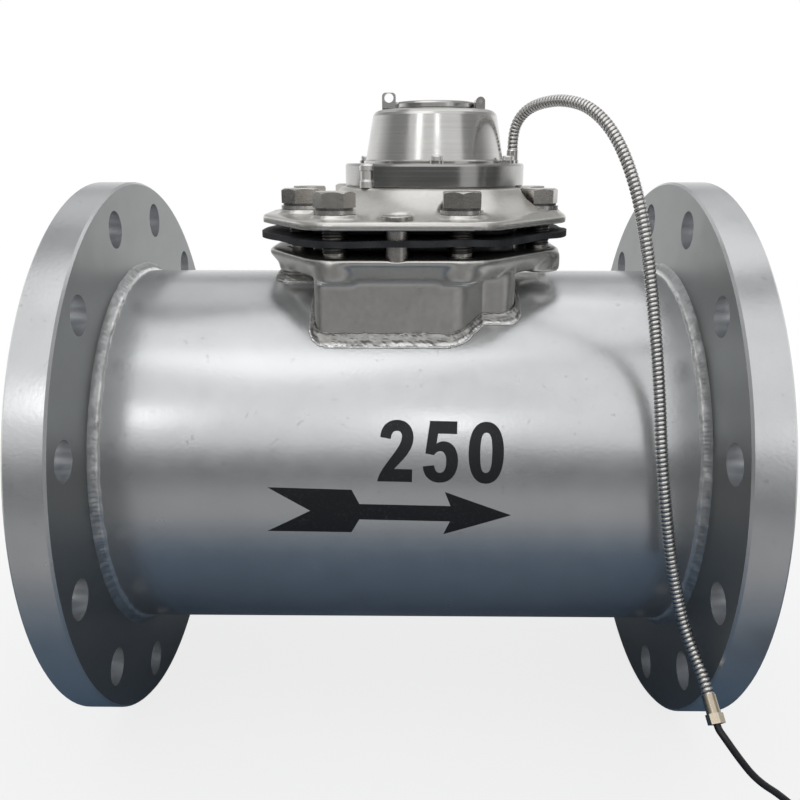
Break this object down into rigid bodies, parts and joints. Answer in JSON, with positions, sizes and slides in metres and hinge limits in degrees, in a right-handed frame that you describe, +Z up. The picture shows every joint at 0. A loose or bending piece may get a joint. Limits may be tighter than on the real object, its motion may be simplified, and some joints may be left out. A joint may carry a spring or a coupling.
{
  "type": "turbine water meter",
  "caption": "Flanged straight-pipe water meter: a helical turbine in the bore drives a domed, lidded register through a worm and magnets, with an armoured pulse lead.",
  "frame": {"origin": "centre of the inlet flange face, on the pipe axis", "axes": "+X along the pipe in the direction of flow, +Y away from the marked side, +Z up towards the register"},
  "size_m": [0.5706, 0.4858, 0.467],
  "materials": {
    "silver_paint": "satin",
    "weld_bead": "satin",
    "stainless": "satin",
    "bright_stainless": "polished",
    "fastener": "satin",
    "seal_rubber": "matte",
    "element_plastic": "matte",
    "rotor_plastic": "satin",
    "bearing": "satin",
    "jewel": "gloss",
    "wheel_plastic": "satin",
    "magnet": "matte",
    "movement_brass": "satin",
    "dial_white": "matte",
    "pointer_red": "gloss",
    "lens_glass": "gloss",
    "sensor_plastic": "satin",
    "cable_black": "satin",
    "conduit_steel": "satin",
    "ferrule_nickel": "satin",
    "core_copper": "satin"
  },
  "bodies": {
    "meter_body": {"body_pipe": "silver_paint", "inlet_flange": "silver_paint", "outlet_flange": "silver_paint", "inlet_flange_weld": "weld_bead", "outlet_flange_weld": "weld_bead", "neck_weld": "weld_bead", "neck_housing": "stainless", "cover_plate": "stainless", "hinge_bracket": "stainless", "seal_staple": "stainless", "register_collar": "bright_stainless", "register_dome": "bright_stainless", "register_can": "bright_stainless", "cover_bolts": "fastener", "flat_washers": "fastener", "spring_washers": "fastener", "locating_dowel": "fastener", "column_screws": "fastener", "seal_screw": "fastener", "dome_screws": "fastener", "hinge_pin": "fastener", "movement_pillars": "fastener", "cover_gasket": "seal_rubber", "lens_gasket": "seal_rubber", "measuring_chamber": "element_plastic", "inlet_guide": "element_plastic", "outlet_guide": "element_plastic", "outlet_cone": "element_plastic", "element_column": "element_plastic", "rotor_bushes": "bearing", "spindle_bushes": "bearing", "thrust_jewels": "jewel", "movement_plate": "movement_brass", "dial_plate": "dial_white", "register_lens": "lens_glass", "reed_sensor": "sensor_plastic", "sensor_lead": "cable_black", "signal_cable": "cable_black", "cable_coil": "cable_black", "coil_tie": "cable_black", "armoured_conduit": "conduit_steel", "conduit_nipple": "conduit_steel", "conduit_ferrule": "ferrule_nickel", "lead_ends": "core_copper"},
    "rotor": {"turbine_rotor": "rotor_plastic", "rotor_shaft": "fastener"},
    "spindle": {"drive_spindle": "fastener", "worm_wheel": "wheel_plastic", "drive_magnet": "magnet"},
    "register_input": {"input_arbor": "movement_brass", "follower_magnet": "magnet", "leak_star": "pointer_red"},
    "tenths": {"tenths_gear": "movement_brass", "tenths_pointer": "pointer_red"},
    "units": {"units_gear": "movement_brass", "units_pointer": "pointer_red"},
    "tens": {"tens_gear": "movement_brass", "tens_pointer": "pointer_red"},
    "lid": {"register_lid": "bright_stainless"}
  },
  "joints": [
    {"name": "rotor_spin", "type": "hinge", "parent": "meter_body", "child": "rotor", "pos_m": [0.225, 0, 0], "axis": [1, 0, 0], "continuous": true},
    {"name": "spindle_spin", "type": "hinge", "parent": "meter_body", "child": "spindle", "pos_m": [0.2495, 0.013, 0], "axis": [0, 0, 1], "continuous": true},
    {"name": "register_input_spin", "type": "hinge", "parent": "meter_body", "child": "register_input", "pos_m": [0.2495, 0.013, 0.21], "axis": [0, 0, 1], "continuous": true},
    {"name": "tenths_spin", "type": "hinge", "parent": "meter_body", "child": "tenths", "pos_m": [0.26648, 0.00839, 0.215], "axis": [0, 0, 1], "continuous": true},
    {"name": "units_spin", "type": "hinge", "parent": "meter_body", "child": "units", "pos_m": [0.25958, -0.0078, 0.22], "axis": [0, 0, 1], "continuous": true},
    {"name": "tens_spin", "type": "hinge", "parent": "meter_body", "child": "tens", "pos_m": [0.24244, -0.01182, 0.225], "axis": [0, 0, 1], "continuous": true},
    {"name": "lid_hinge", "type": "hinge", "parent": "meter_body", "child": "lid", "pos_m": [0.2814, 0, 0.258], "axis": [0, 1, 0], "range_deg": [0, 115]}
  ],
  "couplings": [
    {"joint": "spindle_spin", "follows": "rotor_spin", "ratio": -0.0625},
    {"joint": "register_input_spin", "follows": "rotor_spin", "ratio": -0.0625},
    {"joint": "tenths_spin", "follows": "rotor_spin", "ratio": 0.00625},
    {"joint": "units_spin", "follows": "rotor_spin", "ratio": -0.000625},
    {"joint": "tens_spin", "follows": "rotor_spin", "ratio": 0.0000625}
  ]
}
